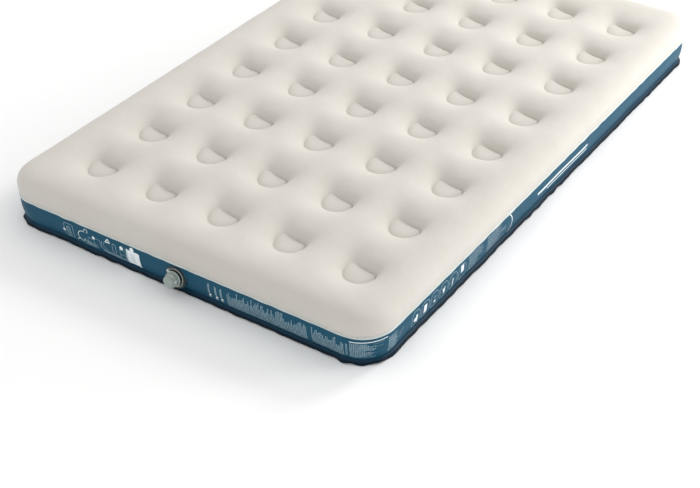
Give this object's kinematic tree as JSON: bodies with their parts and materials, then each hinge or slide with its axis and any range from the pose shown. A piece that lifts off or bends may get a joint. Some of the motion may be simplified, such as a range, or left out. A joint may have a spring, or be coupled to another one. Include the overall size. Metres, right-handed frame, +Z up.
{
  "type": "air mattress",
  "caption": "Inflatable camping mattress for two, with a soft dimpled top, a printed side band, a dark base and a screw valve with a capped nozzle at the foot end.",
  "frame": {"origin": "on the floor, at the centre of the rectangle between the top seams", "axes": "+X across the width, +Y along the length from the foot end with the valve to the head end, +Z up"},
  "size_m": [1.21, 1.946, 0.155],
  "materials": {
    "flocked_top": "matte",
    "printed_band": "satin",
    "dark_base": "satin",
    "tie_pvc": "matte",
    "patch_pvc": "satin",
    "valve_dark": "gloss",
    "valve_light": "satin",
    "tether": "satin",
    "seal_rubber": "matte"
  },
  "bodies": {
    "mattress": {"top_sheet": "flocked_top", "side_band": "printed_band", "bottom_sheet": "dark_base", "tie_row_1": "tie_pvc", "tie_row_2": "tie_pvc", "tie_row_3": "tie_pvc", "tie_row_4": "tie_pvc", "tie_row_5": "tie_pvc", "tie_row_6": "tie_pvc", "tie_row_7": "tie_pvc", "tie_row_8": "tie_pvc", "valve_patch": "patch_pvc", "valve_base": "valve_dark", "insert_tether": "tether"},
    "insert_ring": {"insert_tether_ring": "tether"},
    "insert": {"valve_insert": "valve_light", "insert_gasket": "seal_rubber", "flap_seat": "valve_dark", "cap_tether": "tether"},
    "flap": {"check_flap": "seal_rubber"},
    "cap_ring": {"cap_tether_ring": "tether"},
    "cap": {"valve_cap": "valve_light", "cap_gasket": "seal_rubber"}
  },
  "joints": [
    {"name": "insert_lift", "type": "slide", "parent": "mattress", "child": "insert_ring", "axis": [0, -0.9945, 0.1045], "range_m": [0, 0.008]},
    {"name": "insert_turn", "type": "hinge", "parent": "insert_ring", "child": "insert", "pos_m": [0, -0.95565, 0.048], "axis": [0, -0.9945, 0.1045], "range_deg": [0, 720.1]},
    {"name": "flap_swing", "type": "hinge", "parent": "insert", "child": "flap", "pos_m": [0, -0.95614, 0.0567], "axis": [1, 0, 0], "range_deg": [0, 50], "stiffness_Nm_per_rad": 0.0001},
    {"name": "cap_lift", "type": "slide", "parent": "insert", "child": "cap_ring", "axis": [0, -0.9945, 0.1045], "range_m": [0, 0.0045]},
    {"name": "cap_turn", "type": "hinge", "parent": "cap_ring", "child": "cap", "pos_m": [0, -0.95565, 0.048], "axis": [0, -0.9945, 0.1045], "range_deg": [0, 540.1]}
  ],
  "couplings": [
    {"joint": "insert_turn", "follows": "insert_lift", "rad_per_m": 1570.8},
    {"joint": "cap_turn", "follows": "cap_lift", "rad_per_m": 2094.4}
  ]
}
